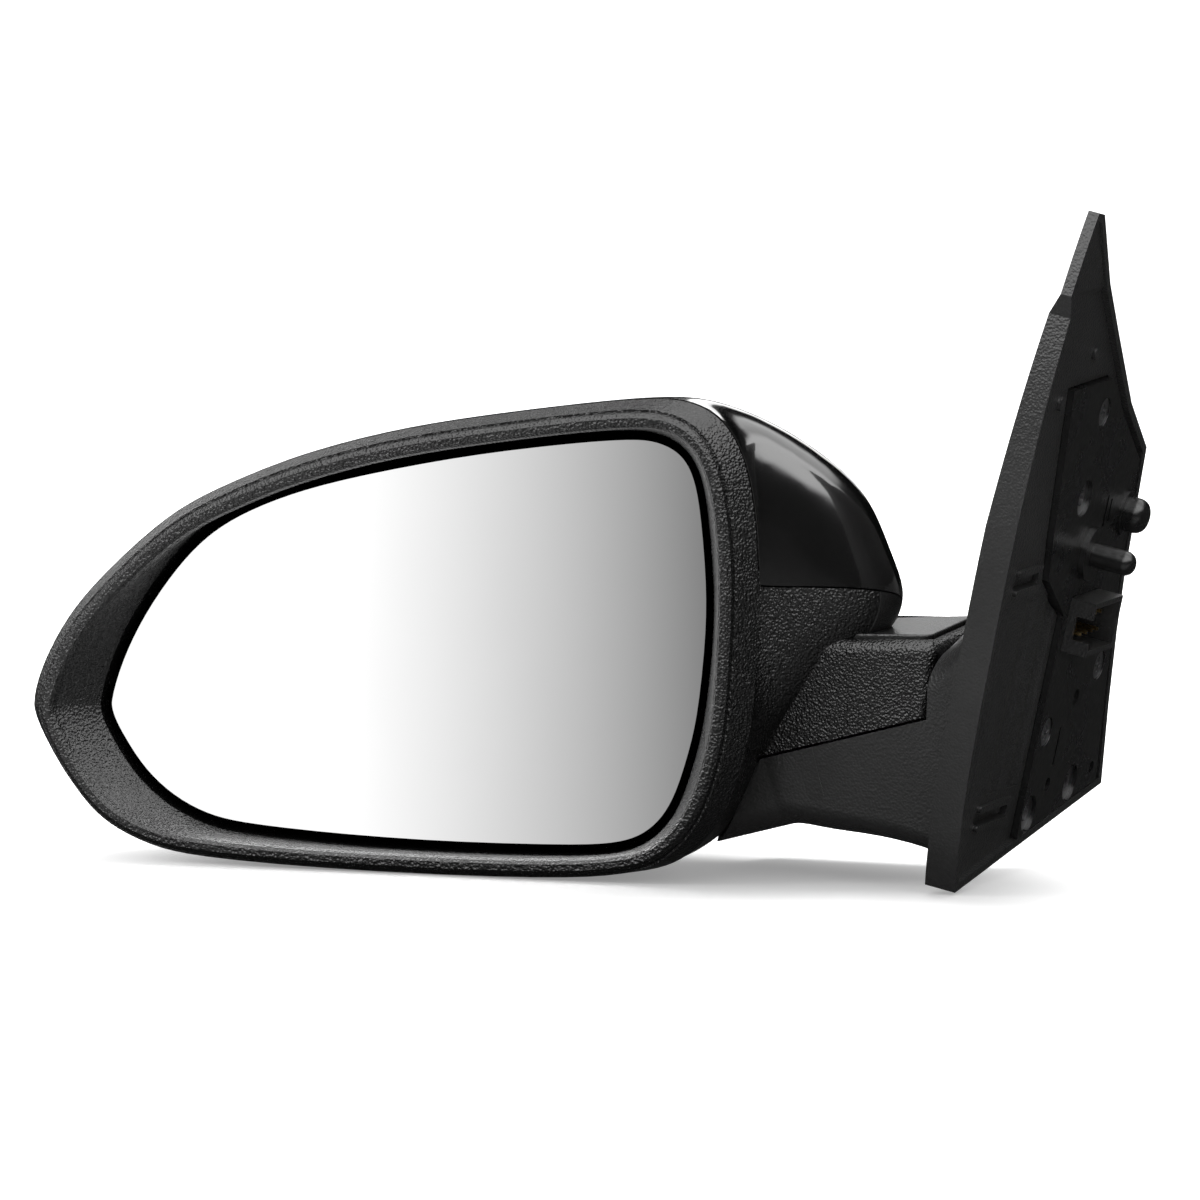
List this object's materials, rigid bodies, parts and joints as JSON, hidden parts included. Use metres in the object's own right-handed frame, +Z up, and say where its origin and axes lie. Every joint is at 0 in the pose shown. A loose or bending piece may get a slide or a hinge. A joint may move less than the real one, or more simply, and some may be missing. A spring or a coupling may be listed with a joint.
{
  "type": "car side mirror",
  "caption": "Power door mirror with a folding head on a tilted pivot, a glass that pans and tilts, and a triangular base that bolts to the door.",
  "frame": {"origin": "on the door mounting face, on the flat casting below the locating pegs", "axes": "+X inboard towards the door, -Y rearward, the way the glass faces, +Z up; the door face leans 12.5 degrees inboard at the top"},
  "size_m": [0.3293, 0.1307, 0.2015],
  "materials": {
    "housing": "fine pebble texture, matte",
    "cap": "high gloss",
    "lower_cover": "smooth satin",
    "base_plastic": "satin",
    "casting": "semi-matt black over a casting",
    "mirror_face": "first-surface reflection",
    "heater_film": "thin film",
    "holder_plastic": "matte",
    "pale_plastic": "smooth, natural acetal",
    "grey_plastic": "smooth",
    "frame_metal": "as cast",
    "steel": "zinc plated",
    "spring_steel": "oiled",
    "brass": "plain",
    "bush_plastic": "smooth",
    "wire_sleeve": "woven tape"
  },
  "bodies": {
    "base": {"base_cover": "base_plastic", "base_bracket": "casting", "threaded_inserts": "steel", "base_screws": "steel", "connector_shell": "base_plastic", "connector_pins": "brass", "base_harness": "wire_sleeve", "pivot_post": "steel", "detent_ring": "spring_steel", "spring_washer": "steel", "retaining_ring": "spring_steel", "fold_spring": "spring_steel"},
    "head": {"rear_housing": "housing", "cap_cover": "cap", "lower_front_cover": "lower_cover", "neck_cover": "lower_cover", "head_frame": "frame_metal", "frame_screws": "steel", "pivot_bush": "bush_plastic", "head_harness": "wire_sleeve", "actuator_base": "grey_plastic", "actuator_cover": "grey_plastic", "actuator_screws": "steel", "pan_motor": "steel", "tilt_motor": "steel", "pan_worm": "pale_plastic", "tilt_worm": "pale_plastic"},
    "gimbal": {"gimbal_ring": "pale_plastic"},
    "glass": {"mirror_glass": "mirror_face", "heater_pad": "heater_film", "heater_terminals": "brass", "glass_holder": "holder_plastic"},
    "pan_jack": {"pan_jackscrew": "pale_plastic"},
    "tilt_jack": {"tilt_jackscrew": "pale_plastic"},
    "pan_nut": {"pan_nut_gear": "pale_plastic"},
    "tilt_nut": {"tilt_nut_gear": "pale_plastic"}
  },
  "joints": [
    {"name": "head_fold", "type": "hinge", "parent": "base", "child": "head", "pos_m": [-0.0633, -0.018, -0.0174], "axis": [-0.2588, 0, 0.9659], "range_deg": [-58, 58]},
    {"name": "mirror_pan", "type": "hinge", "parent": "head", "child": "gimbal", "pos_m": [-0.1774, -0.048, 0.0077], "axis": [0, 0, 1], "range_deg": [-7.5, 7.5]},
    {"name": "mirror_tilt", "type": "hinge", "parent": "gimbal", "child": "glass", "pos_m": [-0.1774, -0.048, 0.0077], "axis": [1, 0, 0], "range_deg": [-7.5, 7.5]},
    {"name": "pan_jack_slide", "type": "slide", "parent": "head", "child": "pan_jack", "axis": [0, 1, 0], "range_m": [-0.0034, 0.0034]},
    {"name": "tilt_jack_slide", "type": "slide", "parent": "head", "child": "tilt_jack", "axis": [0, 1, 0], "range_m": [-0.0034, 0.0034]},
    {"name": "pan_nut_spin", "type": "hinge", "parent": "head", "child": "pan_nut", "pos_m": [-0.1524, -0.026, 0.0077], "axis": [0, 1, 0], "range_deg": [-300, 300]},
    {"name": "tilt_nut_spin", "type": "hinge", "parent": "head", "child": "tilt_nut", "pos_m": [-0.1774, -0.026, -0.0173], "axis": [0, 1, 0], "range_deg": [-300, 300]}
  ],
  "couplings": [
    {"joint": "pan_jack_slide", "follows": "mirror_pan", "m_per_rad": 0.025},
    {"joint": "tilt_jack_slide", "follows": "mirror_tilt", "m_per_rad": 0.025},
    {"joint": "pan_nut_spin", "follows": "mirror_pan", "ratio": 39.27},
    {"joint": "tilt_nut_spin", "follows": "mirror_tilt", "ratio": 39.27}
  ]
}
